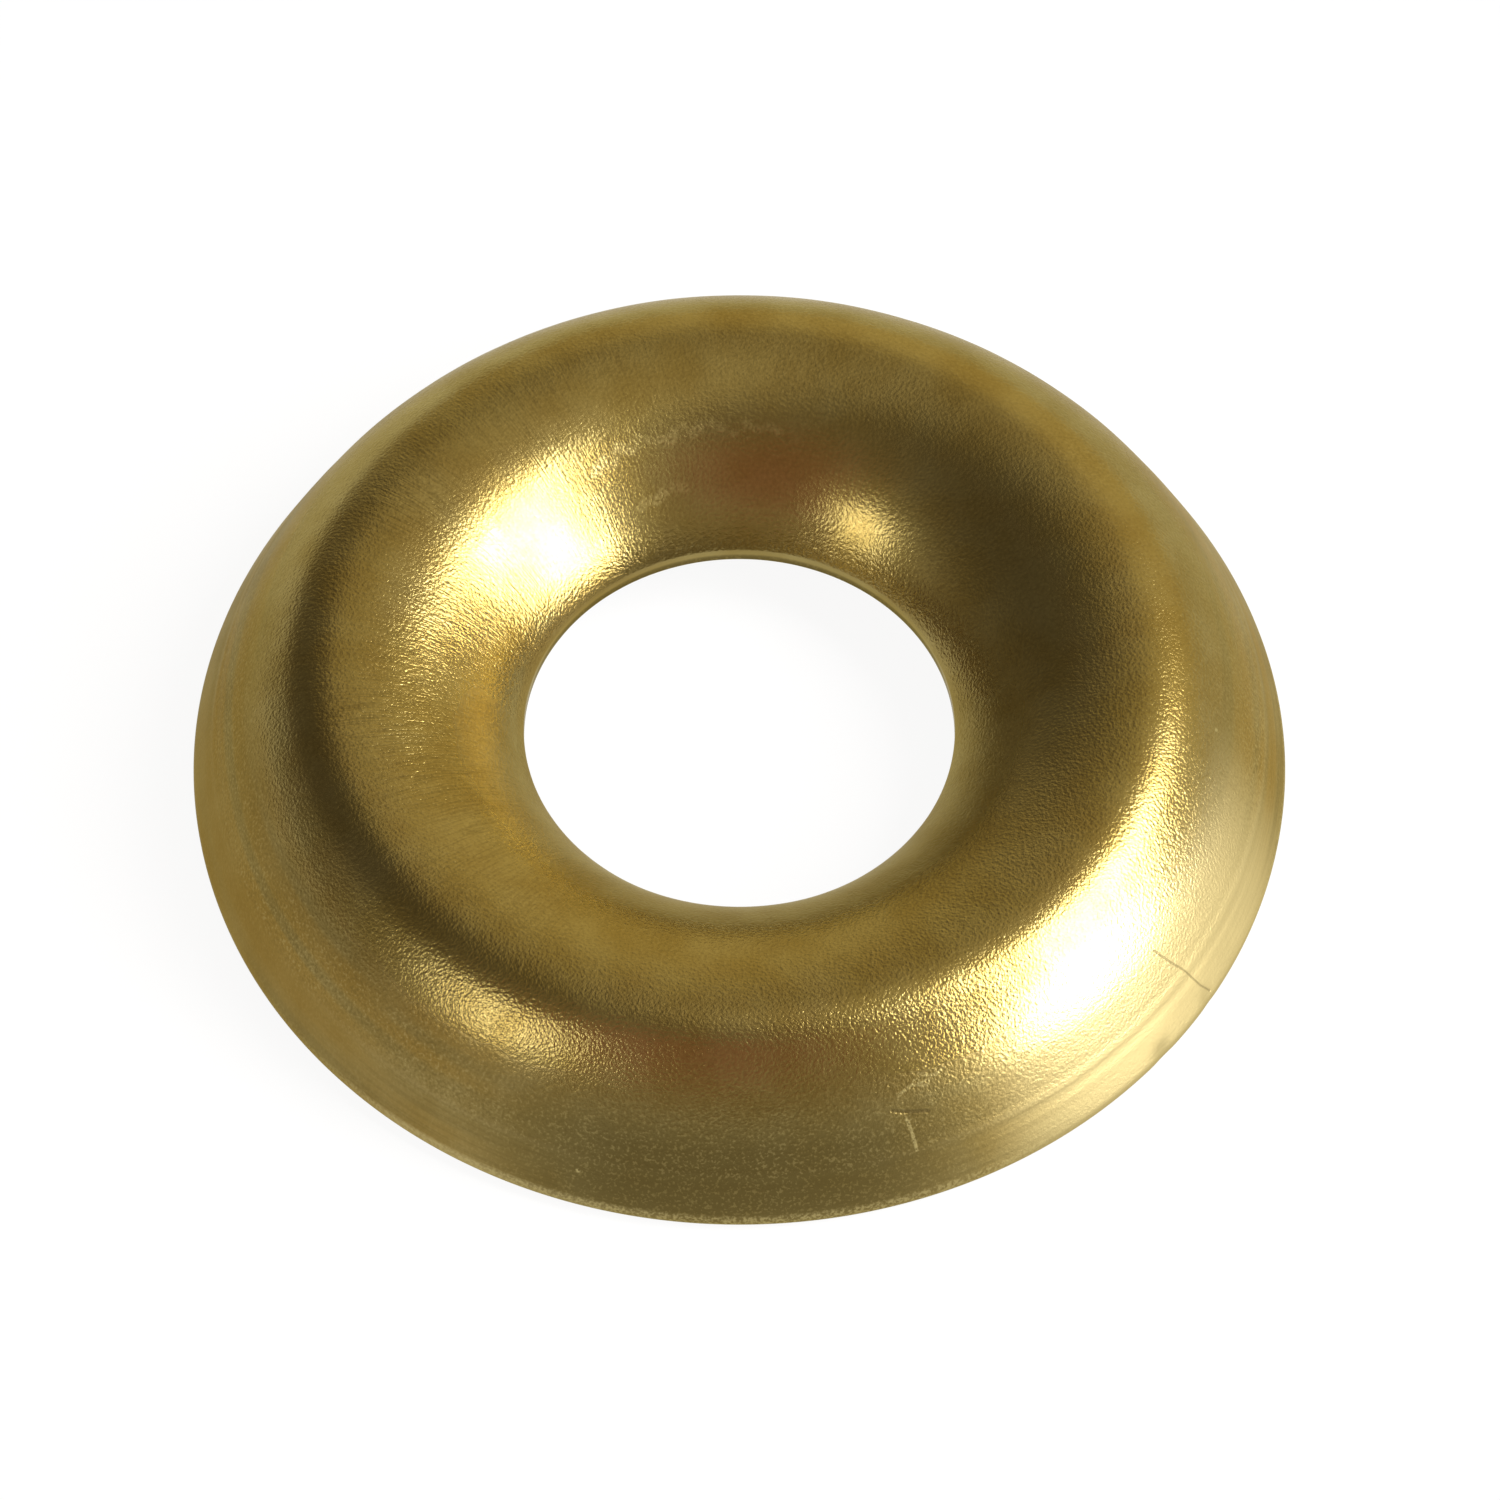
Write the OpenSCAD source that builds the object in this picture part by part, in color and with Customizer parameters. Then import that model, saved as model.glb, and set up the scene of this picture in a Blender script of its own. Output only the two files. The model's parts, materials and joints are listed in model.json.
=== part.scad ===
// Finishing cup washer: one blank of thin brass sheet, pierced and drawn into a domed ring.
// The section is a strip of even thickness. From the foot on the base plane it runs up the
// burnished band and the flank, over the shoulder and crown, and down the dish to the edge of
// the hole. The base plane is z = 0 and the axis of the hole is z.

/* [Size] */
// Outside diameter over the rim
rim_d = 15; // [13.5:0.1:20]
// Diameter of the screw hole
hole_d = 5.9; // [4:0.1:7]
// Height of the crown above the base plane
crown_h = 2.65; // [2.4:0.05:2.9]
// Thickness of the sheet
sheet = 0.45; // [0.3:0.01:0.6]

/* [Rim] */
// Height of the burnished band above the base plane
band_h = 0.9; // [0.5:0.05:1.1]
// Slope of the burnished band, in degrees
band_angle = 68; // [62:0.5:74]
// Slope of the flank above the band, in degrees
flank_angle = 66; // [62:0.5:68]
// Length of the straight flank between the band and the shoulder
flank_run = 0.5; // [0.1:0.05:0.8]
// Radius of the rolled outer edge of the foot
foot_round = 0.18; // [0.05:0.01:0.2]

/* [Dome] */
// Outside radius of the round between the shoulder and the crown
crown_round = 1.1; // [0.7:0.05:1.3]
// Slope at which the shoulder passes into the crown round, in degrees
crown_turn = 40; // [30:1:48]

/* [Hole] */
// Radius of the round between the dish and the wall of the hole
throat_round = 0.1; // [0.05:0.01:0.2]
// Height of the lower edge of the hole above the base plane
hole_edge_h = 0.9; // [0.6:0.05:1]
// Length of the straight wall of the hole, with its rounded lower edge
hole_land = 0.2; // [0.15:0.01:0.4]
// Radius of the rounded lower edge of the hole
hole_edge_round = 0.05; // [0.02:0.01:0.1]

/* [Hidden] */
brass = [0.73, 0.58, 0.30];
$fn = 180;
// Largest turn between two points of a round, in degrees
round_step = 6;

rim_r = rim_d / 2;
hole_r = hole_d / 2;

// Outer line of the band: leaves the foot round at foot_top and ends at the crease, band_top
foot_r = min(foot_round, 0.45 * sheet);
foot_centre = [rim_r - foot_r, foot_r];
foot_top = foot_centre + foot_r * slope_normal(band_angle);
band_top = [foot_top.x - (band_h - foot_top.y) / tan(band_angle), band_h];

// Outer line of the flank: from the crease to the start of the shoulder
flank_top = band_top + flank_run * [-cos(flank_angle), sin(flank_angle)];

// The shoulder is the one round that is tangent to the flank and to the crown round
shoulder_rise = crown_h - flank_top.y - crown_round * (1 - cos(crown_turn));
shoulder_r = shoulder_rise / (cos(crown_turn) - cos(flank_angle));
shoulder_centre = flank_top - shoulder_r * slope_normal(flank_angle);

// The crown round and the dish meet level at the crown, so their centres share one radius
crown_centre = shoulder_centre + (shoulder_r - crown_round) * slope_normal(crown_turn);
crown_r = crown_centre.x;

// The dish is the one round that is level at the crown and tangent to the throat round
throat_centre = [hole_r + throat_round, hole_edge_h + hole_land];
dish_reach = crown_r - throat_centre.x;
dish_drop = crown_h - throat_centre.y;
dish_span = pow(dish_reach, 2) + pow(dish_drop, 2) - pow(throat_round, 2);
dish_r = dish_span / (2 * (dish_drop - throat_round));
dish_centre = [crown_r, crown_h - dish_r];
dish_angle = atan2(dish_reach, dish_r - dish_drop);

// Lower end of the hole wall, and the slope at which the inner face of the dish comes down to it
hole_edge_centre = [hole_r + hole_edge_round, hole_edge_h + hole_edge_round];
dish_inner_angle = acos((hole_edge_h - dish_centre.y) / (dish_r - sheet));

// Inner line of the sheet: one thickness inside the outer line, mitred at the crease
crease_depth = sheet / cos((band_angle - flank_angle) / 2);
band_top_inner = band_top - crease_depth * slope_normal((band_angle + flank_angle) / 2);
foot_inner = [band_top_inner.x + band_top_inner.y / tan(band_angle), 0];

// Outward normal of a surface that rises towards the axis at the given slope, in degrees
function slope_normal(slope) = [sin(slope), cos(slope)];

// Points of a round from one slope to another, without its first point
function round_on(centre, radius, from, to) =
    let (steps = ceil(abs(to - from) / round_step))
    [for (i = [1 : steps]) centre + radius * slope_normal(from + (to - from) * i / steps)];

// Points of a round from one slope to another
function round_whole(centre, radius, from, to) =
    concat([centre + radius * slope_normal(from)], round_on(centre, radius, from, to));

// Outer face of the sheet, from the foot over the crown to the lower edge of the hole
outer_line = concat(
    round_whole(foot_centre, foot_r, 180, band_angle),
    [band_top],
    round_whole(shoulder_centre, shoulder_r, flank_angle, crown_turn),
    round_on(crown_centre, crown_round, crown_turn, 0),
    round_on(dish_centre, dish_r, 0, -dish_angle),
    round_on(throat_centre, throat_round, -dish_angle, -90),
    round_whole(hole_edge_centre, hole_edge_round, -90, -180)
);

// Inner face of the sheet, from the lower edge of the hole back to the foot
inner_line = concat(
    round_whole(dish_centre, dish_r - sheet, -dish_inner_angle, 0),
    round_on(crown_centre, crown_round - sheet, 0, crown_turn),
    round_on(shoulder_centre, shoulder_r - sheet, crown_turn, flank_angle),
    [band_top_inner, foot_inner]
);

module cup_washer() {
    color(brass)
        rotate_extrude()
            polygon(concat(outer_line, inner_line));
}

cup_washer();
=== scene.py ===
"""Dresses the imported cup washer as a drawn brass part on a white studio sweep.

The visible washer is one closed surface of revolution: the outline of the sheet's section carried round
the axis, with the pressing's unevenness, the grooves beside the burnished band's crease and small dents
worked into its outer face. The handling marks are distances kept in the mesh, which the finish reads.
Lengths are in metres unless a name or a docstring says otherwise, and angles are in radians. A slope is the
angle of a face to the base plane, and a run is a length along the outer face from the start of the foot.
"""

import json
import logging
import math
from dataclasses import dataclass, field
from enum import Enum
from functools import cached_property

import bpy
import numpy as np
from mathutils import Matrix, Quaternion, Vector


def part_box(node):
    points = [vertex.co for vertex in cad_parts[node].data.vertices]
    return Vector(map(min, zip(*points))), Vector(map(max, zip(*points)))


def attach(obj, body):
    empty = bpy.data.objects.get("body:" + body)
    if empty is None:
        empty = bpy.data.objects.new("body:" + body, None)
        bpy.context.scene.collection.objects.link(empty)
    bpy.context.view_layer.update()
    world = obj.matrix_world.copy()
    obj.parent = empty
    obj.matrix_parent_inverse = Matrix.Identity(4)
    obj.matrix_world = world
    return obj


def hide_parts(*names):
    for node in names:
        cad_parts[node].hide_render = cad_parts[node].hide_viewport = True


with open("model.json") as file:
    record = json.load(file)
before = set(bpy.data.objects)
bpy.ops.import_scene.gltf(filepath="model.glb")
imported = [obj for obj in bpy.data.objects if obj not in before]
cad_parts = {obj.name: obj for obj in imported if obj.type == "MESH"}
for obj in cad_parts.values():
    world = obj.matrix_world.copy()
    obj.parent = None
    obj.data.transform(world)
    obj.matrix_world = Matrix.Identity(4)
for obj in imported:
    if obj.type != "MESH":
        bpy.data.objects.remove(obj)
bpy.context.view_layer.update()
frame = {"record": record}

MM = 0.001
NODE = "cup_washer"
BODY = "root"

log = logging.getLogger("cup_washer")


def slope_normal(slope: float | np.ndarray) -> np.ndarray:
    """Outward normal, as (radius, height), of a face that rises towards the axis at the given slope.

    Args:
        slope: Angle to the base plane; negative where the face falls towards the axis.

    Returns:
        Unit vectors (sin slope, cos slope), in a last axis of two.
    """
    return np.stack([np.sin(slope), np.cos(slope)], axis=-1)


def smoothstep(low: float, high: float, value: np.ndarray) -> np.ndarray:
    """Smooth rise from 0 at low to 1 at high: 3 t^2 - 2 t^3 of the clipped share t.

    Args:
        low: Value where the rise starts.
        high: Value where it ends; below low, the function falls instead.
        value: Array of values.

    Returns:
        Array of the same shape, from 0 to 1.
    """
    share = np.clip((value - low) / (high - low), 0.0, 1.0)
    return share * share * (3.0 - 2.0 * share)


class Face(Enum):
    """Face of the sheet that a stretch of the outline lies on; the value is the sign of its normal."""

    OUTER = 1
    INNER = -1


class Datum(Enum):
    """Places on the outer face that runs are counted from; the value is the number of stretches up to it."""

    FOOT = 0
    CREASE = 2
    CROWN = 5
    HOLE = 9


@dataclass(frozen=True)
class Round:
    """Round stretch of the outline, about a centre, from one slope to another."""

    centre: np.ndarray
    radius: float
    start: float
    stop: float
    face: Face = Face.OUTER

    @property
    def length(self) -> float:
        """Arc length: radius times turn."""
        return self.radius * abs(self.stop - self.start)

    def sample(self, count: int) -> tuple[np.ndarray, np.ndarray]:
        """Points at even slopes, each the centre plus the radius times the slope's normal.

        The last point is left out, because the next stretch starts there.

        Args:
            count: Number of points.

        Returns:
            Points and outward normals, each count by 2.
        """
        slopes = np.linspace(self.start, self.stop, count, endpoint=False)
        normals = slope_normal(slopes)
        return self.centre + self.radius * normals, self.face.value * normals


@dataclass(frozen=True)
class Straight:
    """Straight stretch of the outline; the metal lies on the left of its way."""

    start: np.ndarray
    stop: np.ndarray
    face: Face = Face.OUTER

    @property
    def length(self) -> float:
        """Distance between the ends."""
        return float(np.linalg.norm(self.stop - self.start))

    def sample(self, count: int) -> tuple[np.ndarray, np.ndarray]:
        """Evenly spaced points start + t (stop - start), with the way turned right as their normal.

        The last point is left out, because the next stretch starts there.

        Args:
            count: Number of points.

        Returns:
            Points and outward normals, each count by 2.
        """
        share = np.linspace(0.0, 1.0, count, endpoint=False)[:, None]
        way = (self.stop - self.start) / self.length
        normal = np.array([way[1], -way[0]])
        return self.start + share * (self.stop - self.start), np.repeat(normal[None, :], count, axis=0)


@dataclass(frozen=True)
class WasherSection:
    """Section of the washer: a strip of even thickness, by the sizes that drive the part's source."""

    rim_r: float
    hole_r: float
    crown_h: float
    sheet: float = 0.45 * MM
    band_h: float = 0.9 * MM
    band_slope: float = math.radians(68)
    flank_slope: float = math.radians(66)
    flank_run: float = 0.5 * MM
    foot_r: float = 0.18 * MM
    crown_round: float = 1.1 * MM
    crown_turn: float = math.radians(40)
    throat_r: float = 0.1 * MM
    hole_edge_h: float = 0.9 * MM
    hole_land: float = 0.2 * MM
    hole_edge_r: float = 0.05 * MM

    @cached_property
    def stretches(self) -> list[Round | Straight]:
        """The closed outline: from the foot over the outer face to the hole, and back along the inner face.

        The shoulder is the one round that is tangent to the flank and to the crown round. The dish is the one
        round that is level at the crown and tangent to the throat round.

        Returns:
            Stretches in order, each starting where the one before ends.
        """
        foot_centre = np.array([self.rim_r - self.foot_r, self.foot_r])
        foot_top = foot_centre + self.foot_r * slope_normal(self.band_slope)
        crease_r = foot_top[0] - (self.band_h - foot_top[1]) / math.tan(self.band_slope)
        crease = np.array([crease_r, self.band_h])
        flank_way = np.array([-math.cos(self.flank_slope), math.sin(self.flank_slope)])
        flank_top = crease + self.flank_run * flank_way
        shoulder_rise = self.crown_h - flank_top[1] - self.crown_round * (1.0 - math.cos(self.crown_turn))
        shoulder_r = shoulder_rise / (math.cos(self.crown_turn) - math.cos(self.flank_slope))
        shoulder_centre = flank_top - shoulder_r * slope_normal(self.flank_slope)
        crown_centre = shoulder_centre + (shoulder_r - self.crown_round) * slope_normal(self.crown_turn)
        crown_r = crown_centre[0]
        throat_centre = np.array([self.hole_r + self.throat_r, self.hole_edge_h + self.hole_land])
        reach = crown_r - throat_centre[0]
        drop = self.crown_h - throat_centre[1]
        dish_r = (reach**2 + drop**2 - self.throat_r**2) / (2 * (drop - self.throat_r))
        dish_centre = np.array([crown_r, self.crown_h - dish_r])
        dish_turn = math.atan2(reach, dish_r - drop)
        edge_centre = np.array([self.hole_r + self.hole_edge_r, self.hole_edge_h + self.hole_edge_r])
        dish_inner_turn = math.acos((self.hole_edge_h - dish_centre[1]) / (dish_r - self.sheet))
        edge_outer = dish_centre + (dish_r - self.sheet) * slope_normal(-dish_inner_turn)
        mitre = self.sheet / math.cos((self.band_slope - self.flank_slope) / 2)
        crease_inner = crease - mitre * slope_normal((self.band_slope + self.flank_slope) / 2)
        flank_inner = flank_top - self.sheet * slope_normal(self.flank_slope)
        foot_inner = np.array([crease_inner[0] + crease_inner[1] / math.tan(self.band_slope), 0.0])
        down = -math.pi / 2
        inner = Face.INNER
        return [
            Round(foot_centre, self.foot_r, math.pi, self.band_slope),
            Straight(foot_top, crease),
            Straight(crease, flank_top),
            Round(shoulder_centre, shoulder_r, self.flank_slope, self.crown_turn),
            Round(crown_centre, self.crown_round, self.crown_turn, 0.0),
            Round(dish_centre, dish_r, 0.0, -dish_turn),
            Round(throat_centre, self.throat_r, -dish_turn, down),
            Straight(np.array([self.hole_r, throat_centre[1]]), np.array([self.hole_r, edge_centre[1]])),
            Round(edge_centre, self.hole_edge_r, down, -math.pi),
            Straight(np.array([edge_centre[0], self.hole_edge_h]), edge_outer, inner),
            Round(dish_centre, dish_r - self.sheet, -dish_inner_turn, 0.0, inner),
            Round(crown_centre, self.crown_round - self.sheet, 0.0, self.crown_turn, inner),
            Round(shoulder_centre, shoulder_r - self.sheet, self.crown_turn, self.flank_slope, inner),
            Straight(flank_inner, crease_inner, inner),
            Straight(crease_inner, foot_inner, inner),
            Straight(foot_inner, np.array([foot_centre[0], 0.0]), inner),
        ]

    def run_to(self, datum: Datum) -> float:
        """Arc length along the outer face, from the start of the foot to a datum."""
        return sum(stretch.length for stretch in self.stretches[: datum.value])


class LatticeNoise:
    """Smooth noise from -1 to 1: random values on a cubic lattice, blended between the corners of a cell."""

    CELLS = 48

    def __init__(self, seed: int) -> None:
        """Fills the lattice.

        Args:
            seed: Seed of the lattice values, so that each run gives the same noise.
        """
        self.values = np.random.default_rng(seed).uniform(-1.0, 1.0, (self.CELLS,) * 3)

    def at(self, points: np.ndarray) -> np.ndarray:
        """Noise at points given in cells: the corner values weighted by smoothed shares of the cell.

        Args:
            points: Array of n by 3.

        Returns:
            Array of n values.
        """
        cell = np.floor(points).astype(int)
        share = smoothstep(0.0, 1.0, points - cell)
        total = np.zeros(len(points))
        for corner in np.ndindex(2, 2, 2):
            at_corner = np.array(corner)
            weight = np.prod(np.where(at_corner, share, 1.0 - share), axis=1)
            index = (cell + at_corner) % self.CELLS
            total += weight * self.values[index[:, 0], index[:, 1], index[:, 2]]
        return total


@dataclass(frozen=True)
class SurfaceGrid:
    """Grid over the closed surface: a row for each point of the section, a column for each angle."""

    radius: np.ndarray
    height: np.ndarray
    normal_r: np.ndarray
    normal_z: np.ndarray
    run: np.ndarray
    outer: np.ndarray
    angle: np.ndarray

    # Smallest number of points on a stretch
    FEWEST = 4

    @classmethod
    def from_section(
        cls, section: WasherSection, columns: int, outer_step: float, inner_step: float
    ) -> "SurfaceGrid":
        """Carries the section round the axis: each outline point stands at every angle.

        Args:
            section: The washer's section.
            columns: Number of angles round the axis.
            outer_step: Spacing of points along the outer face.
            inner_step: Spacing of points along the inner face.

        Returns:
            The grid, with each field as an array of section points by angles.
        """
        points, normals, runs, outer = [], [], [], []
        start = 0.0
        for stretch in section.stretches:
            step = outer_step if stretch.face is Face.OUTER else inner_step
            count = max(cls.FEWEST, round(stretch.length / step))
            at, normal = stretch.sample(count)
            points.append(at)
            normals.append(normal)
            runs.append(start + stretch.length * np.arange(count) / count)
            outer.append(np.full(count, stretch.face is Face.OUTER, float))
            start += stretch.length
        outline, normal = np.concatenate(points), np.concatenate(normals)
        angle = np.linspace(0.0, 2.0 * math.pi, columns, endpoint=False)
        ones = np.ones(columns)
        return cls(
            radius=np.outer(outline[:, 0], ones),
            height=np.outer(outline[:, 1], ones),
            normal_r=np.outer(normal[:, 0], ones),
            normal_z=np.outer(normal[:, 1], ones),
            run=np.outer(np.concatenate(runs), ones),
            outer=np.outer(np.concatenate(outer), ones),
            angle=np.outer(np.ones(len(outline)), angle),
        )

    def raised(self, relief: np.ndarray) -> np.ndarray:
        """Points moved by the relief along their normals, turned from (radius, height, angle) to x, y, z.

        Args:
            relief: Height above the true surface, as an array of section points by angles.

        Returns:
            Array of points by 3.
        """
        radius = self.radius + relief * self.normal_r
        height = self.height + relief * self.normal_z
        across = radius * np.cos(self.angle), radius * np.sin(self.angle)
        return np.stack([*across, height], axis=-1).reshape(-1, 3)

    def quads(self) -> np.ndarray:
        """Corner indices of the faces; rows and columns both close on themselves.

        Returns:
            Array of faces by 4, wound so that the faces point out of the metal.
        """
        rows, columns = self.radius.shape
        index = np.arange(rows * columns).reshape(rows, columns)
        above = np.roll(index, -1, axis=0)
        beside = np.roll(index, -1, axis=1)
        across = np.roll(above, -1, axis=1)
        return np.stack([index, beside, across, above], axis=-1).reshape(-1, 4)


class MarkKind(Enum):
    """Kinds of handling mark: half-width in millimetres, and tone from -1, dark, to 1, bright."""

    CRACK = (0.019, -0.36)
    NICK = (0.045, -0.40)
    SCRATCH = (0.036, 0.6)
    SCUFF = (0.110, 0.60)
    RUB = (0.090, 0.38)
    SPECK = (0.050, 0.9)

    @property
    def half_width(self) -> float:
        """Half the width of the mark, in metres."""
        return self.value[0] * MM

    @property
    def tone(self) -> float:
        """Tone of the mark, from -1, dark, to 1, bright."""
        return self.value[1]


@dataclass(frozen=True)
class Mark:
    """Handling mark along a path on the outer face: each point is an angle in degrees and a run in mm."""

    kind: MarkKind
    path: tuple[tuple[float, float], ...]

    # Length added to each leg, so that a mark of one point has a direction too
    LEAST_LEG = 1e-6 * MM

    def distances(self, grid: SurfaceGrid) -> tuple[np.ndarray, np.ndarray]:
        """Distances to the nearest leg of the path, over the surface: to its left, and beyond its ends.

        Args:
            grid: Surface that bears the mark.

        Returns:
            Two arrays of section points by angles, in half-widths of the mark.
        """
        legs = list(zip(self.path[:-1], self.path[1:])) or [(self.path[0], self.path[0])]
        nearest = np.full(grid.run.shape, np.inf)
        aside, beyond = np.zeros_like(nearest), np.zeros_like(nearest)
        for (angle_a, run_a), (angle_b, run_b) in legs:
            turn = (grid.angle - math.radians(angle_a) + math.pi) % (2.0 * math.pi) - math.pi
            across, along = grid.radius * turn, grid.run - run_a * MM
            leg_across = grid.radius * math.radians(angle_b - angle_a)
            leg_along = (run_b - run_a) * MM + self.LEAST_LEG
            length = np.hypot(leg_across, leg_along)
            ahead = (across * leg_across + along * leg_along) / length
            left = (along * leg_across - across * leg_along) / length
            over = np.maximum(np.maximum(-ahead, ahead - length), 0.0)
            gap = np.hypot(left, over)
            aside = np.where(gap < nearest, left, aside)
            beyond = np.where(gap < nearest, over, beyond)
            nearest = np.minimum(gap, nearest)
        return aside / self.kind.half_width, beyond / self.kind.half_width


@dataclass(frozen=True)
class Dent:
    """Shallow dent on the outer face: its angle in degrees, run from the foot, half-width and depth in mm."""

    angle: float
    run: float
    half_width: float
    depth: float

    def drop(self, grid: SurfaceGrid) -> np.ndarray:
        """Depth times a bell of the distance d over the surface, exp(-(d / half-width)^2).

        Args:
            grid: Surface that bears the dent.

        Returns:
            Array of section points by angles, in metres.
        """
        turn = (grid.angle - math.radians(self.angle) + math.pi) % (2.0 * math.pi) - math.pi
        gap = np.hypot(grid.radius * turn, grid.run - self.run * MM)
        return self.depth * MM * np.exp(-((gap / (self.half_width * MM)) ** 2)) * grid.outer


MARKS = (
    Mark(
        MarkKind.CRACK,
        ((-35.0, 1.80), (-33.6, 1.40), (-32.4, 1.10), (-31.9, 0.91), (-31.3, 0.66), (-30.3, 0.40)),
    ),
    Mark(MarkKind.NICK, ((-72.4, 1.79), (-70.5, 1.70), (-68.4, 1.63))),
    Mark(MarkKind.SCRATCH, ((-71.0, 1.62), (-70.6, 1.37), (-70.4, 1.07))),
    Mark(MarkKind.SCRATCH, ((-71.5, 1.98), (-69.8, 2.10), (-68.0, 2.02))),
    Mark(MarkKind.SCRATCH, ((-68.6, 2.22), (-66.8, 2.12), (-65.5, 2.18))),
    Mark(MarkKind.SCUFF, ((119.2, 5.22), (117.0, 5.10))),
    Mark(MarkKind.RUB, ((115.4, 5.22), (114.2, 5.10))),
    Mark(MarkKind.SCUFF, ((113.4, 5.00), (111.0, 5.12))),
    Mark(MarkKind.RUB, ((109.0, 4.96), (107.6, 5.04))),
    Mark(MarkKind.SCUFF, ((105.4, 5.08), (103.2, 5.12), (102.2, 5.00))),
    Mark(MarkKind.RUB, ((100.2, 4.94),)),
    Mark(MarkKind.SCUFF, ((98.8, 5.06), (97.2, 4.98))),
    Mark(MarkKind.RUB, ((95.0, 4.95), (93.2, 5.04))),
    Mark(MarkKind.RUB, ((91.0, 5.10),)),
    Mark(MarkKind.RUB, ((88.6, 4.96), (86.6, 5.05))),
    Mark(MarkKind.RUB, ((84.2, 4.98), (82.6, 5.06))),
    Mark(MarkKind.RUB, ((113.0, 5.92), (111.4, 5.84))),
    Mark(MarkKind.SCUFF, ((109.0, 5.88), (107.0, 5.80))),
    Mark(MarkKind.RUB, ((104.6, 5.74), (102.0, 5.80))),
    Mark(MarkKind.SPECK, ((-107.5, 0.81),)),
    Mark(MarkKind.SPECK, ((-5.8, 2.40),)),
)
DENTS = (
    Dent(angle=-39.2, run=0.34, half_width=0.13, depth=0.030),
    Dent(angle=-31.0, run=0.36, half_width=0.12, depth=0.018),
    Dent(angle=-70.6, run=1.69, half_width=0.16, depth=0.010),
)


class NodeSheet:
    """Short way to write a node tree: each call adds one node, sets its inputs and gives it back."""

    # Numbers of a Mix node's sockets when it mixes colours
    MIX_FACTOR, MIX_FIRST, MIX_SECOND, MIX_RESULT = 0, 6, 7, 2

    def __init__(self, tree: bpy.types.NodeTree) -> None:
        """Empties the tree.

        Args:
            tree: Node tree of a material or the world.
        """
        self.tree = tree
        tree.nodes.clear()

    def add(self, kind: str, inputs: dict | None = None, **settings: object) -> bpy.types.Node:
        """Adds a node.

        Args:
            kind: Blender's name of the node type.
            inputs: Socket name or number to a value, or to the output socket that feeds it.
            settings: Properties of the node itself.

        Returns:
            The new node.
        """
        node = self.tree.nodes.new(kind)
        for name, value in settings.items():
            setattr(node, name, value)
        for name, value in (inputs or {}).items():
            if isinstance(value, bpy.types.NodeSocket):
                self.tree.links.new(value, node.inputs[name])
            else:
                node.inputs[name].default_value = value
        return node

    def math(self, operation: str, *values: object) -> bpy.types.NodeSocket:
        """Adds a Math node on values or sockets and gives its output."""
        return self.add("ShaderNodeMath", dict(enumerate(values)), operation=operation).outputs[0]

    def attribute(self, name: str) -> bpy.types.NodeSocket:
        """Adds a node that reads one of the piece's own attributes and gives its value."""
        return self.add("ShaderNodeAttribute", attribute_name=name).outputs["Fac"]

    def ramp(self, value: bpy.types.NodeSocket, low: float, high: float) -> bpy.types.NodeSocket:
        """Adds a smooth rise.

        Args:
            value: Socket of the value.
            low: Value at which the result is 0.
            high: Value at which the result is 1; below low, the result falls.

        Returns:
            Socket of the result, from 0 to 1.
        """
        first, last, ends = (low, high, (0.0, 1.0)) if low < high else (high, low, (1.0, 0.0))
        inputs = {"Value": value, "From Min": first, "From Max": last, "To Min": ends[0], "To Max": ends[1]}
        return self.add("ShaderNodeMapRange", inputs, interpolation_type="SMOOTHSTEP").outputs[0]

    def mix(self, factor: object, first: object, second: object) -> bpy.types.NodeSocket:
        """Adds a colour mix and gives its output.

        Args:
            factor: Share of the second colour, a value or a socket.
            first: Colour or socket at share 0.
            second: Colour or socket at share 1.

        Returns:
            The mixed colour's socket.
        """
        inputs = {self.MIX_FACTOR: factor, self.MIX_FIRST: first, self.MIX_SECOND: second}
        return self.add("ShaderNodeMix", inputs, data_type="RGBA").outputs[self.MIX_RESULT]


Colour = tuple[float, float, float, float]
Span = tuple[float, float]
WHITE: Colour = (1.0, 1.0, 1.0, 1.0)


@dataclass(frozen=True)
class BrassPatterns:
    """Sockets of the patterns that vary the finish, each from 0 to 1."""

    mottle: bpy.types.NodeSocket
    grain: bpy.types.NodeSocket
    lines: bpy.types.NodeSocket
    rings: bpy.types.NodeSocket
    streaks: bpy.types.NodeSocket


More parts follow.
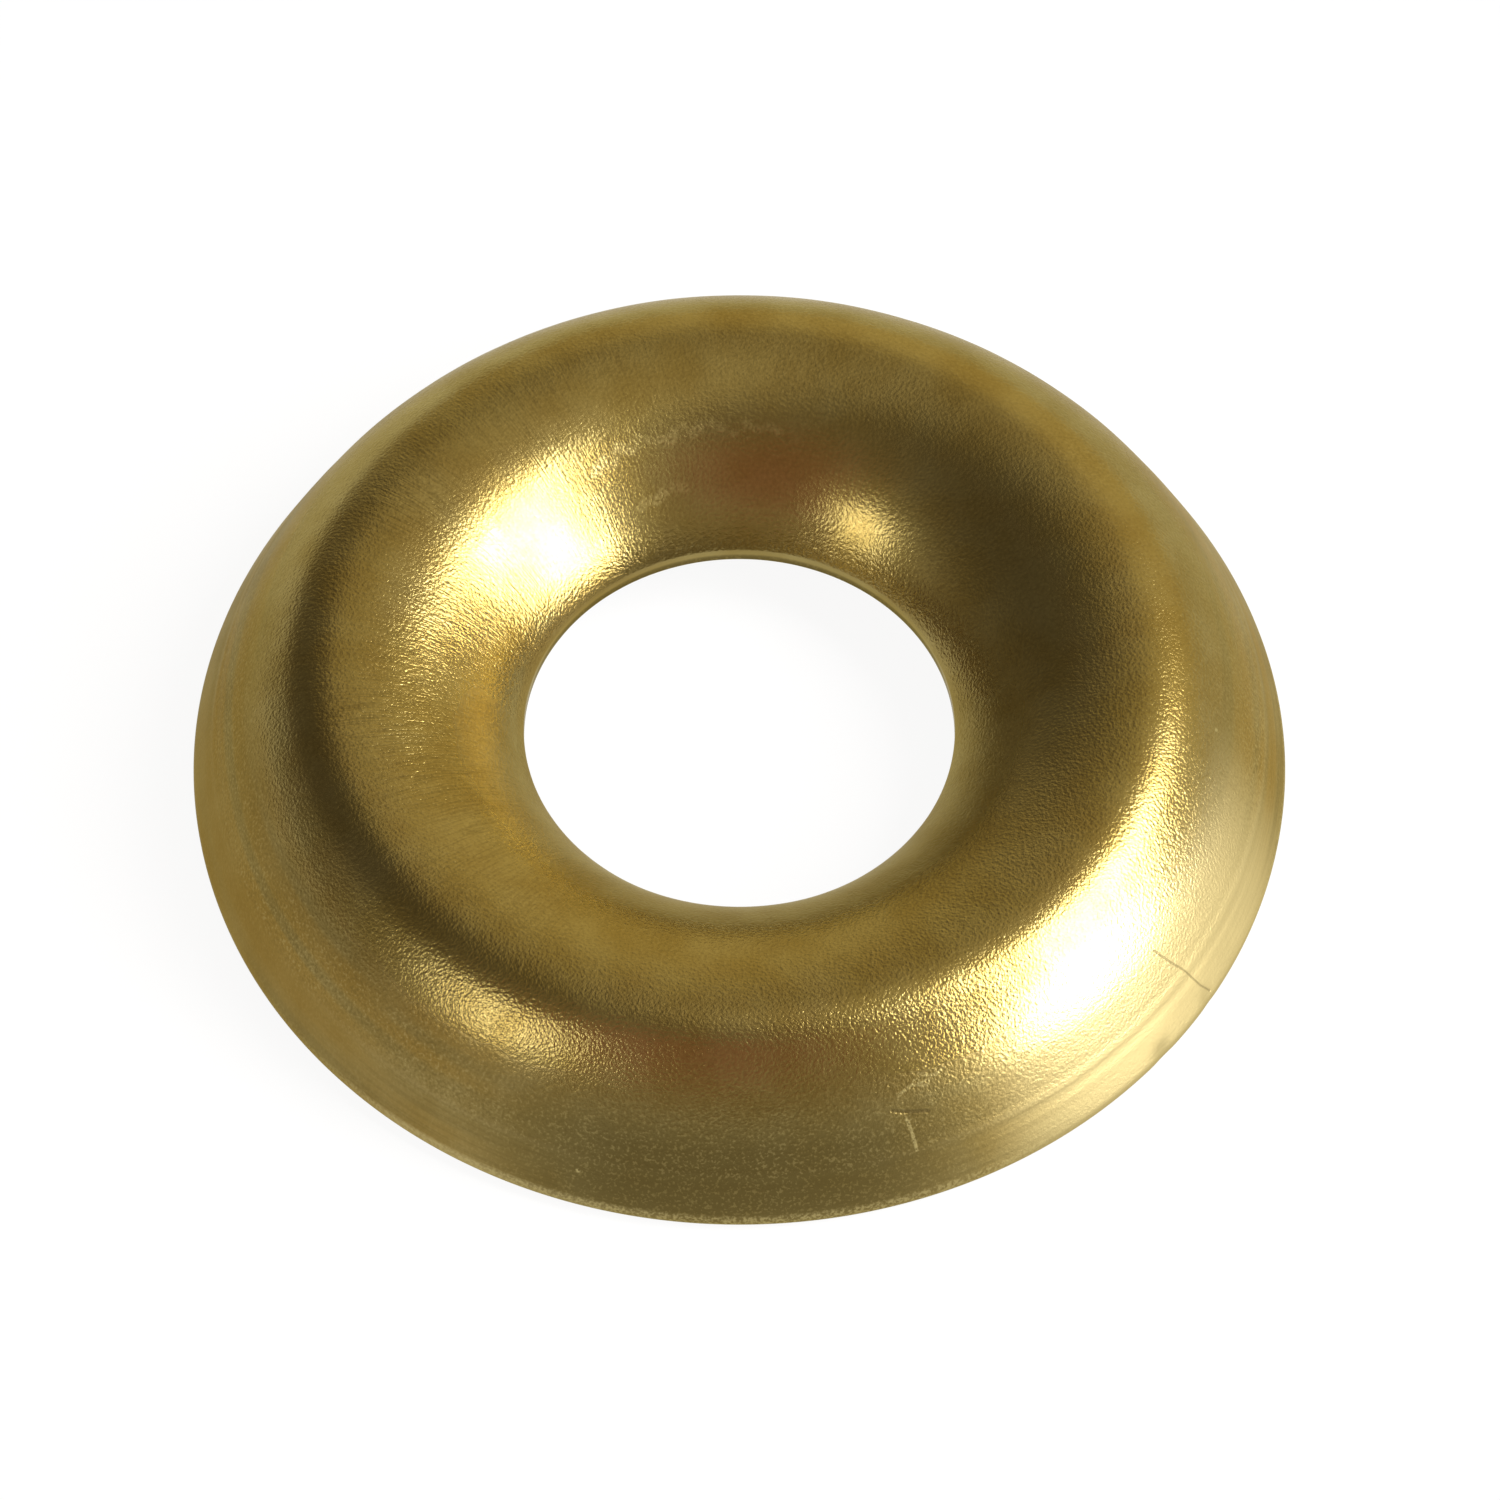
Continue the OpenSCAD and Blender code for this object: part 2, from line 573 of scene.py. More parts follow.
@dataclass(frozen=True)
class BrassFinish:
    """Satin drawn brass: its colours, and the sizes, depths and strengths of its patterns.

    A span holds the values of a pattern at which its share is 0 and 1. A detail is a number of finer layers.
    """

    base: Colour = (0.310, 0.242, 0.090, 1.0)
    mottle: Colour = (0.258, 0.188, 0.058, 1.0)
    # Dark colour of the soil in the grain and strokes, and of the painted shade on the front flank and band,
    # the lower left shoulder and the foot of the hole wall
    shaded: Colour = (0.105, 0.076, 0.023, 1.0)
    # Tarnish and painted reflection: a warm brown on the flank, partly tarnish and partly the painted
    # reflection of dark warm surroundings; also on the left of the lip
    tarnish_and_reflection: Colour = (0.245, 0.152, 0.032, 1.0)
    # Painted highlight: a pale colour that paints the key lamp's reflection on the right flank, along the
    # crease and on a strip of the foot
    painted_highlight: Colour = (0.485, 0.392, 0.182, 1.0)
    # Bright colour of the scuffs, rubs and worn foot, and of the painted glints on the grain
    scuff_and_glint: Colour = (0.480, 0.395, 0.170, 1.0)
    cracked: Colour = (0.070, 0.048, 0.020, 1.0)
    edge_tint: Colour = (0.80, 0.73, 0.52, 1.0)
    roughness: float = 0.24
    roughness_swing: float = 0.08
    dull_rise: float = 0.17
    mottle_size: float = 0.9 * MM
    mottle_detail: float = 3.0
    mottle_span: Span = (0.28, 0.72)
    grain_size: float = 0.045 * MM
    grain_depth: float = 0.0094 * MM
    grain_detail: float = 2.5
    line_width: float = 0.045 * MM
    line_length: float = 0.45 * MM
    line_depth: float = 0.0060 * MM
    ring_width: float = 0.045 * MM
    ring_length: float = 2.4 * MM
    ring_depth: float = 0.0030 * MM
    stroke_detail: float = 2.0
    streak_width: float = 0.30 * MM
    streak_length: float = 5.0 * MM
    streak_detail: float = 0.0
    tarnish_and_reflection_least: float = 0.35
    tarnish_and_reflection_span: Span = (0.32, 0.62)
    soil: float = 0.34
    pit_span: Span = (0.50, 0.36)
    stroke_soil_span: Span = (0.54, 0.40)
    # Dark stripes along the flank: painted reflection of the surroundings
    reflection_stripe_span: Span = (0.54, 0.36)
    # Painted glints: bright specks of the grain
    glint: float = 0.30
    glint_span: Span = (0.54, 0.70)
    fleck: float = 0.35
    fleck_span: Span = (0.52, 0.66)
    mark_span: Span = (1.0, 0.3)
    scuff_span: Span = (0.30, 0.58)
    worn_span: Span = (0.38, 0.62)
    crack_depth: float = 0.012 * MM

    def material(self) -> bpy.types.Material:
        """Builds the finish from its patterns and marks.

        Returns:
            The material, which reads Object coordinates and the washer's own attributes.
        """
        made = bpy.data.materials.new("satin_brass")
        made.use_nodes = True
        sheet = NodeSheet(made.node_tree)
        patterns = self.patterns(sheet)
        dark, bright = self.marks(sheet, patterns.grain)
        scuff_and_glint = sheet.mix(bright, self.wear_and_light_colour(sheet, patterns), self.scuff_and_glint)
        shader = sheet.add(
            "ShaderNodeBsdfPrincipled",
            {
                "Base Color": sheet.mix(dark, scuff_and_glint, self.cracked),
                "Metallic": 1.0,
                "Roughness": self.local_roughness(sheet, patterns),
                "Specular Tint": self.edge_tint,
                "Normal": self.bumped_normal(sheet, patterns, dark),
            },
        )
        sheet.add("ShaderNodeOutputMaterial", {"Surface": shader.outputs["BSDF"]})
        return made

    def patterns(self, sheet: NodeSheet) -> BrassPatterns:
        """Adds the patterns: mottle and grain as noise in space, and three kinds of stroke on the surface.

        Args:
            sheet: Node tree.

        Returns:
            Sockets of the patterns.
        """
        place = sheet.add("ShaderNodeTexCoord").outputs["Object"]
        return BrassPatterns(
            mottle=self.noise(sheet, place, self.mottle_size, self.mottle_detail),
            grain=self.noise(sheet, place, self.grain_size, self.grain_detail),
            lines=self.strokes(sheet, self.line_width, self.line_length, self.stroke_detail),
            rings=self.strokes(sheet, self.ring_length, self.ring_width, self.stroke_detail),
            streaks=self.strokes(sheet, self.streak_length, self.streak_width, self.streak_detail),
        )

    def wear_and_light_colour(self, sheet: NodeSheet, patterns: BrassPatterns) -> bpy.types.NodeSocket:
        """Adds the colour of the metal: mottled brass under tarnish and painted reflection, painted
        highlight, soil, painted glints and painted shade.

        Args:
            sheet: Node tree.
            patterns: Sockets of the patterns.

        Returns:
            Socket of the colour, without the handling marks.
        """
        soil_and_glint_share, tarnish_and_reflection_share = sheet.attribute("soil"), sheet.attribute("tarnish_and_reflection")
        streaked = sheet.ramp(patterns.streaks, *self.tarnish_and_reflection_span)
        streaked = sheet.math("MULTIPLY_ADD", streaked, 1.0 - self.tarnish_and_reflection_least, self.tarnish_and_reflection_least)
        soil = sheet.math("MULTIPLY", sheet.ramp(patterns.grain, *self.pit_span), soil_and_glint_share)
        for pattern, span, share in (
            (patterns.rings, self.stroke_soil_span, sheet.attribute("rings")),
            (patterns.lines, self.stroke_soil_span, sheet.attribute("lines")),
            # Dark stripes on the flank: painted reflection of the surroundings
            (patterns.streaks, self.reflection_stripe_span, tarnish_and_reflection_share),
        ):
            soil = sheet.math("MULTIPLY_ADD", sheet.ramp(pattern, *span), share, soil)
        # Painted glints: bright specks of the grain, placed by the soil share
        glints = sheet.math("MULTIPLY", sheet.ramp(patterns.grain, *self.glint_span), soil_and_glint_share)
        unflecked = sheet.math("MULTIPLY_ADD", sheet.ramp(patterns.grain, *self.fleck_span), -self.fleck, 1.0)
        colour = sheet.mix(sheet.ramp(patterns.mottle, *self.mottle_span), self.base, self.mottle)
        for share, layer in (
            # Tarnish and painted reflection of dark warm surroundings
            (sheet.math("MULTIPLY", streaked, tarnish_and_reflection_share), self.tarnish_and_reflection),
            # Painted highlight laid over the brass
            (sheet.attribute("painted_highlight_share"), self.painted_highlight),
            (sheet.math("MULTIPLY", soil, self.soil), self.shaded),
            (sheet.math("MULTIPLY", glints, self.glint), self.scuff_and_glint),
            # Painted shade, broken by bright flecks of the grain
            (sheet.math("MULTIPLY", sheet.attribute("shade"), unflecked), self.shaded),
        ):
            colour = sheet.mix(share, colour, layer)
        return colour

    def local_roughness(self, sheet: NodeSheet, patterns: BrassPatterns) -> bpy.types.NodeSocket:
        """Adds the roughness, which swings with the mottle and rises where the metal is dull.

        Args:
            sheet: Node tree.
            patterns: Sockets of the patterns.

        Returns:
            Socket of the roughness.
        """
        least = self.roughness - self.roughness_swing / 2
        swing = sheet.math("MULTIPLY_ADD", patterns.mottle, self.roughness_swing, least)
        return sheet.math("MULTIPLY_ADD", sheet.attribute("dull"), self.dull_rise, swing)

    def bumped_normal(
        self, sheet: NodeSheet, patterns: BrassPatterns, dark: bpy.types.NodeSocket
    ) -> bpy.types.NodeSocket:
        """Adds the bump: grain, draw lines and rings, each times its share and depth, less the dark marks.

        Args:
            sheet: Node tree.
            patterns: Sockets of the patterns.
            dark: Socket of the dark marks.

        Returns:
            Socket of the normal.
        """
        height = sheet.math("MULTIPLY", dark, -self.crack_depth / MM)
        for pattern, name, depth in (
            (patterns.lines, "lines", self.line_depth),
            (patterns.grain, "grain", self.grain_depth),
            (patterns.rings, "rings", self.ring_depth),
        ):
            local_depth = sheet.math("MULTIPLY", sheet.attribute(name), depth / MM)
            height = sheet.math("MULTIPLY_ADD", pattern, local_depth, height)
        bump = sheet.add("ShaderNodeBump", {"Height": height, "Distance": MM, "Strength": 1.0})
        return bump.outputs["Normal"]

    @staticmethod
    def noise(
        sheet: NodeSheet, place: bpy.types.NodeSocket, size: float, detail: float
    ) -> bpy.types.NodeSocket:
        """Adds noise whose lumps are about as large as a size.

        Args:
            sheet: Node tree.
            place: Socket of the coordinates.
            size: Length of one lump.
            detail: Number of finer layers.

        Returns:
            Socket of the noise, from 0 to 1.
        """
        inputs = {"Vector": place, "Scale": 1.0 / size, "Detail": detail}
        return sheet.add("ShaderNodeTexNoise", inputs).outputs["Fac"]

    def strokes(self, sheet: NodeSheet, around: float, along: float, detail: float) -> bpy.types.NodeSocket:
        """Adds the strokes that a tool leaves: noise pulled long round the axis or along the section.

        Args:
            sheet: Node tree.
            around: Length of a stroke round the axis.
            along: Length of a stroke along the section.
            detail: Number of finer layers.

        Returns:
            Socket of the strokes, from 0 to 1.
        """
        draw = sheet.add("ShaderNodeAttribute", attribute_name="draw").outputs["Vector"]
        scale = (1.0 / around, 1.0 / around, 1.0 / along)
        pulled = sheet.add("ShaderNodeVectorMath", {0: draw, 1: scale}, operation="MULTIPLY")
        return self.noise(sheet, pulled.outputs["Vector"], 1.0, detail)

    def marks(
        self, sheet: NodeSheet, grain: bpy.types.NodeSocket
    ) -> tuple[bpy.types.NodeSocket, bpy.types.NodeSocket]:
        """Adds the handling marks from the distances kept in the mesh; the grain breaks up the bright ones.

        Args:
            sheet: Node tree.
            grain: Socket of the grain.

        Returns:
            Sockets of the dark and of the bright marks, from 0 to 1.
        """
        away = sheet.add("ShaderNodeAttribute", attribute_name="mark").outputs["Vector"]
        gap = sheet.add("ShaderNodeVectorMath", {0: away}, operation="LENGTH").outputs["Value"]
        cover = sheet.ramp(gap, *self.mark_span)
        tone = sheet.attribute("mark_tone")
        darkness = sheet.math("MAXIMUM", sheet.math("MULTIPLY", tone, -1.0), 0.0)
        broken = sheet.math("MULTIPLY", cover, sheet.ramp(grain, *self.scuff_span))
        bright = sheet.math("MULTIPLY", broken, sheet.math("MAXIMUM", tone, 0.0))
        worn = sheet.math("MULTIPLY", sheet.attribute("worn"), sheet.ramp(grain, *self.worn_span))
        return sheet.math("MULTIPLY", cover, darkness), sheet.math("MAXIMUM", bright, worn)


class Zone(Enum):
    """Zones of the outer face: each end as a datum and a run past it, and a smooth end's length, in mm."""

    WORKED = (Datum.FOOT, 0.1, Datum.HOLE, -0.1, 0.2)
    PRESSED = (Datum.CREASE, 0.0, Datum.HOLE, -0.2, 0.4)
    FOOT = (Datum.FOOT, 0.02, Datum.FOOT, 0.38, 0.06)
    BAND = (Datum.FOOT, 0.30, Datum.CREASE, -0.02, 0.08)
    FLANK = (Datum.FOOT, 0.0, Datum.CREASE, 0.9, 1.3)
    SIDE = (Datum.FOOT, 0.0, Datum.CREASE, 1.3, 1.0)
    SHOULDER = (Datum.CREASE, 0.6, Datum.CREASE, 1.3, 0.9)
    DOME = (Datum.CREASE, 0.0, Datum.HOLE, -0.3, 0.3)
    DISH = (Datum.CROWN, -0.4, Datum.HOLE, -0.7, 1.0)
    THROAT = (Datum.HOLE, -1.6, Datum.HOLE, 0.0, 0.8)
    LIP = (Datum.HOLE, -0.45, Datum.HOLE, 0.0, 0.15)
    HOLE_WALL = (Datum.HOLE, -0.16, Datum.HOLE, 0.0, 0.04)

    def share(self, section: WasherSection, grid: SurfaceGrid) -> np.ndarray:
        """Share of the zone over the surface: a smooth rise of the run at its start, and a fall at its stop.

        Args:
            section: The washer's section, which has the datums.
            grid: The surface.

        Returns:
            Array of section points by angles, from 0 to 1.
        """
        first, past_first, last, past_last, blend = self.value
        start = section.run_to(first) + past_first * MM
        stop = section.run_to(last) + past_last * MM
        half = blend * MM / 2
        rise = smoothstep(start - half, start + half, grid.run)
        fall = smoothstep(stop + half, stop - half, grid.run)
        return rise * fall * grid.outer


class Sector(Enum):
    """Sectors round the axis: a heading in degrees, and the cosines of the angle to it for shares of 0 and 1.

    A heading of 0 is the image's right, -90 its front and 180 its left.
    """

    NEAR = (-90.0, -0.3, 0.5)
    NEAR_WIDE = (-90.0, -0.6, 0.2)
    FRONT = (-90.0, 0.82, 0.99)
    FAR = (90.0, 0.2, 0.8)
    # Sector of the painted highlight on the right flank
    PAINTED_HIGHLIGHT = (-34.0, 0.86, 0.99)
    CREASED = (-55.0, -0.2, 0.5)
    # Sector of the painted highlight on the foot
    FOOT_HIGHLIGHT = (-117.0, 0.93, 0.99)
    WARM_LEFT = (-164.0, 0.50, 0.95)
    WARM_RIGHT = (5.0, 0.70, 0.98)
    DRAWN_LEFT = (180.0, 0.0, 0.9)
    SHADED_LEFT = (180.0, 0.2, 0.9)

    def share(self, grid: SurfaceGrid) -> np.ndarray:
        """Share of the sector over the surface: a smooth rise of the cosine of the angle to its heading.

        Args:
            grid: The surface.

        Returns:
            Array of section points by angles, from 0 to 1.
        """
        heading, none, whole = self.value
        return smoothstep(none, whole, np.cos(grid.angle - math.radians(heading)))


@dataclass(frozen=True)
class WearAndLightShares:
    """How strongly each zone or sector shows in the finish, as shares of 1: real wear and soil, and painted
    highlight, shade and reflection.
    """

    band_grain: float = 0.35
    flank_rub: float = 0.4
    far_rub: float = 0.55
    line_least: float = 0.08
    ring: float = 0.5
    ring_rub: float = 0.6
    band_soil: float = 0.35
    dome_soil: float = 0.60
    flank_soil: float = 0.60
    soil_patch: float = 0.5
    throat_dull: float = 0.9
    warm_least: float = 0.4
    warm_left: float = 0.6
    warm_right: float = 0.4
    tarnish_and_reflection_patch: float = 0.4
    lip_tarnish: float = 0.5
    # Painted shade: the front flank and band, less on the foot, the lower left shoulder and the foot of the
    # hole wall
    front_shade: float = 0.92
    foot_shine: float = 0.15
    left_shade: float = 0.35
    hole_shade: float = 0.9
    # Painted highlight along the crease line and on a strip of the foot
    crease_painted_highlight: float = 0.15
    foot_painted_highlight: float = 0.45
    foot_wear: float = 0.45


@dataclass
class CupWasher:
    """The washer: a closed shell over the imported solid, with its relief, marks and brass finish."""

    section: WasherSection
    finish: BrassFinish = field(default_factory=BrassFinish)
    wear_and_light: WearAndLightShares = field(default_factory=WearAndLightShares)
    columns: int = 600
    outer_step: float = 0.058 * MM
    inner_step: float = 0.4 * MM
    wave_seed: int = 11
    wave_size: float = 1.1 * MM
    wave_depth: float = 0.0045 * MM
    peel_seed: int = 12
    peel_size: float = 0.24 * MM
    peel_depth: float = 0.0010 * MM
    patch_seed: int = 21
    patch_size: float = 0.9 * MM
    groove_depth: float = 0.007 * MM
    groove_width: float = 0.10 * MM
    groove_shift: float = 0.11 * MM
    edge_width: float = 0.05 * MM
    mark_reach: float = 12.0
    sharp_angle: float = math.radians(40)

    @cached_property
    def grid(self) -> SurfaceGrid:
        """Grid of the true surface, before any relief."""
        return SurfaceGrid.from_section(self.section, self.columns, self.outer_step, self.inner_step)

    @cached_property
    def patches(self) -> np.ndarray:
        """Cloudy patches over the surface, from 0 to 1."""
        return 0.5 + 0.5 * self.noise(self.patch_seed, self.patch_size)

    def zone(self, zone: Zone) -> np.ndarray:
        """Share of a zone over the surface, from 0 to 1."""
        return zone.share(self.section, self.grid)

    def sector(self, sector: Sector) -> np.ndarray:
        """Share of a sector over the surface, from 0 to 1."""
        return sector.share(self.grid)

    def patchy(self, swing: float) -> np.ndarray:
        """Share over the surface that the patches vary between 1 less the swing and 1."""
        return 1.0 - swing + swing * self.patches

    def noise(self, seed: int, size: float) -> np.ndarray:
        """Lattice noise over the surface.

        Args:
            seed: Seed of the noise.
            size: Length of one lattice cell.

        Returns:
            Array of section points by angles, from -1 to 1.
        """
        points = self.grid.raised(np.zeros_like(self.grid.run)) / size
        return LatticeNoise(seed).at(points).reshape(self.grid.run.shape)

    def relief(self) -> np.ndarray:
        """Height over the true surface: pressing waves, orange peel, a groove beside the crease, and dents.

        The waves are shifted down so that no point stands proud of the true surface. There is a groove on
        each side of the crease: a bell of the distance d from the groove's middle, exp(-(d / width)^2).

        Returns:
            Array of section points by angles, at most 0.
        """
        grid = self.grid
        waves = self.wave_depth * self.noise(self.wave_seed, self.wave_size)
        peel = self.peel_depth * self.noise(self.peel_seed, self.peel_size)
        press = self.zone(Zone.PRESSED) * (waves + peel)
        from_crease = np.abs(grid.run - self.section.run_to(Datum.CREASE))
        aside = (from_crease - self.groove_shift) / self.groove_width
        total = press - press.max() - self.groove_depth * np.exp(-(aside**2)) * grid.outer
        for dent in DENTS:
            total = total - dent.drop(grid)
        return total * self.zone(Zone.WORKED)

    def texture_shares(self) -> dict[str, np.ndarray]:
        """Shares of grain, draw lines, rings, soil and dullness over the surface; the soil share also places
        the painted glints.

        Returns:
            Name to an array of section points by angles; 0 is none.
        """
        wear_and_light, zone, sector = self.wear_and_light, self.zone, self.sector
        dome, dish, flank, band = zone(Zone.DOME), zone(Zone.DISH), zone(Zone.FLANK), zone(Zone.BAND)
        painted_highlight = sector(Sector.PAINTED_HIGHLIGHT)
        leftward = 0.5 - 0.5 * np.cos(self.grid.angle)
        far_dish = dish * sector(Sector.FAR)
        unrubbed = (1.0 - wear_and_light.flank_rub * flank * leftward) * (1.0 - wear_and_light.far_rub * far_dish)
        drawn = wear_and_light.line_least + (1.0 - wear_and_light.line_least) * sector(Sector.DRAWN_LEFT) * self.patches
        soiled = wear_and_light.band_soil * band + dome * (wear_and_light.dome_soil + wear_and_light.flank_soil * flank)
        dulled = flank + wear_and_light.throat_dull * zone(Zone.THROAT) * sector(Sector.NEAR)
        return {
            "grain": wear_and_light.band_grain * band + dome * unrubbed,
            "lines": dish * drawn,
            "rings": wear_and_light.ring * band * sector(Sector.CREASED) * (1.0 - wear_and_light.ring_rub * painted_highlight),
            # Soil share, which also places the painted glints
            "soil": soiled * self.patchy(wear_and_light.soil_patch) * (1.0 - painted_highlight * flank),
            "dull": np.clip(dulled, 0.0, 1.0),
        }

    def colour_shares(self) -> dict[str, np.ndarray]:
        """Shares of tarnish and painted reflection, painted shade, painted highlight and wear over the
        surface.

        Returns:
            Name to an array of section points by angles; 0 is none.
        """
        wear_and_light, zone, sector = self.wear_and_light, self.zone, self.sector
        side, flank, foot = zone(Zone.SIDE), zone(Zone.FLANK), zone(Zone.FOOT)
        front, creased, right = sector(Sector.FRONT), sector(Sector.CREASED), sector(Sector.PAINTED_HIGHLIGHT)
        from_crease = (self.grid.run - self.section.run_to(Datum.CREASE)) / self.edge_width
        edge = np.exp(-(from_crease**2)) * self.grid.outer
        warm = wear_and_light.warm_least + wear_and_light.warm_left * sector(Sector.WARM_LEFT)
        warm = warm + wear_and_light.warm_right * sector(Sector.WARM_RIGHT)
        # Tarnish and painted reflection of dark warm surroundings on the flank, strongest towards the warm
        # sectors
        tarnish_and_reflection_mask = side * (1.0 - front) * (1.0 - right) * warm * self.patchy(wear_and_light.tarnish_and_reflection_patch)
        lip = wear_and_light.lip_tarnish * zone(Zone.LIP) * sector(Sector.DRAWN_LEFT)
        # Painted shade on the front flank and band, eased on the foot
        shaded = wear_and_light.front_shade * flank * front * (1.0 - right) - wear_and_light.foot_shine * foot
        left = sector(Sector.SHADED_LEFT) * sector(Sector.NEAR_WIDE)
        # Painted shade on the lower shoulder at the left
        shoulder = wear_and_light.left_shade * zone(Zone.SHOULDER) * left
        # Painted highlight on a strip of the foot at the front left
        foot_highlight = wear_and_light.foot_painted_highlight * foot * sector(Sector.FOOT_HIGHLIGHT)
        # Painted highlight: the right flank, the crease line and a strip of the foot
        painted_highlight = side * right + wear_and_light.crease_painted_highlight * edge * creased + foot_highlight
        return {
            "tarnish_and_reflection": np.clip(tarnish_and_reflection_mask, 0.0, 1.0) + lip,
            # Painted shade, with a dark line at the foot of the hole wall
            "shade": np.clip(shaded, 0.0, 1.0) + shoulder + wear_and_light.hole_shade * zone(Zone.HOLE_WALL),
            "painted_highlight_share": np.clip(painted_highlight, 0.0, 1.0),
            "worn": wear_and_light.foot_wear * foot * creased,
        }

    def nearest_marks(self) -> tuple[np.ndarray, np.ndarray]:
        """Distances to the nearest mark, in its half-widths and cut off far from it, and that mark's tone.

        Returns:
            Array of section points by angles by 3, the last zero, and array of section points by angles.
        """
        shape = self.grid.run.shape
        nearest, tone = np.full(shape, np.inf), np.zeros(shape)
        away = np.zeros(shape + (3,))
        for mark in MARKS:
            aside, beyond = mark.distances(self.grid)
            gap = np.hypot(aside, beyond)
            closer = gap < nearest
            away[closer, 0], away[closer, 1] = aside[closer], beyond[closer]
            tone[closer] = mark.kind.tone
            nearest = np.minimum(gap, nearest)
        away[self.grid.outer == 0.0] = self.mark_reach
        return np.clip(away, -self.mark_reach, self.mark_reach), tone

    def attributes(self, mesh: bpy.types.Mesh) -> None:
        """Writes the shares, the marks and the draw direction into the mesh.

        The draw direction is a point on a cylinder, the angle round it and the run up it, so it has no seam.

        Args:
            mesh: Mesh of the shell.
        """
        grid = self.grid
        away, tone = self.nearest_marks()
        shares = {**self.texture_shares(), **self.colour_shares(), "mark_tone": tone}
        for name, values in shares.items():
            made = mesh.attributes.new(name, "FLOAT", "POINT")
            made.data.foreach_set("value", values.astype(np.float32).ravel())
        turn = np.stack([np.cos(grid.angle), np.sin(grid.angle)], axis=-1) * self.section.rim_r
        draw = np.concatenate([turn, grid.run[..., None]], axis=-1)
        for name, vectors in {"mark": away, "draw": draw}.items():
            made = mesh.attributes.new(name, "FLOAT_VECTOR", "POINT")
            made.data.foreach_set("vector", vectors.astype(np.float32).ravel())

    def build(self) -> bpy.types.Object:
        """Makes the shell, gives it its attributes and finish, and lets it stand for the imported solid.

        Returns:
            The washer's object, at the origin.
        """
        grid = self.grid
        points = grid.raised(self.relief())
        quads = grid.quads()
        mesh = bpy.data.meshes.new("cup_washer_shell")
        mesh.vertices.add(len(points))
        mesh.vertices.foreach_set("co", points.astype(np.float32).ravel())
        mesh.loops.add(quads.size)
        mesh.loops.foreach_set("vertex_index", quads.astype(np.int32).ravel())
        mesh.polygons.add(len(quads))
        mesh.polygons.foreach_set("loop_start", np.arange(0, quads.size, quads.shape[1], dtype=np.int32))
        mesh.polygons.foreach_set("use_smooth", np.ones(len(quads), bool))
        mesh.update(calc_edges=True)
        mesh.validate()
        mesh.set_sharp_from_angle(angle=self.sharp_angle)
        self.attributes(mesh)
        mesh.materials.append(self.finish.material())
        shell = bpy.data.objects.new("cup_washer_shell", mesh)
        bpy.context.scene.collection.objects.link(shell)
        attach(shell, BODY)
        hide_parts(NODE)
        log.info("%s: %d points, %d faces", shell.name, len(points), len(quads))
        return shell


def direction(azimuth: float, elevation: float) -> Vector:
    """Unit vector from the washer; azimuth 0 is the camera's side and 90 degrees the image's right.

    Args:
        azimuth: Angle round the axis.
        elevation: Angle above the floor.

    Returns:
        The direction.
    """
    flat = math.cos(elevation)
    return Vector((math.sin(azimuth) * flat, -math.cos(azimuth) * flat, math.sin(elevation)))


@dataclass(frozen=True)
class Softbox:
    """Rectangular studio lamp that faces the washer: its place in degrees, its size and its radiance."""

    name: str
    azimuth: float
    elevation: float
    distance: float
    width: float
    height: float
    radiance: float
    roll: float = 0.0

    def build(self) -> bpy.types.Object:
        """Makes the lamp; its power is radiance times pi times area.

        Returns:
            The lamp's object.
        """
        lamp = bpy.data.lights.new(self.name, "AREA")
        lamp.shape = "RECTANGLE"
        lamp.size, lamp.size_y = self.width, self.height
        lamp.energy = self.radiance * math.pi * self.width * self.height
        made = bpy.data.objects.new(self.name, lamp)
        way = direction(math.radians(self.azimuth), math.radians(self.elevation))
        made.location = way * self.distance
        made.rotation_mode = "QUATERNION"
        roll = Quaternion((0.0, 0.0, 1.0), math.radians(self.roll))
        made.rotation_quaternion = way.to_track_quat("Z", "Y") @ roll
        bpy.context.scene.collection.objects.link(made)
        return made


@dataclass(frozen=True)
class RoomPatch:
    """Soft patch of the dim room: where it is and how far it spreads, in degrees, and its colour."""

    azimuth: float
    elevation: float
    spread: float
    colour: Colour


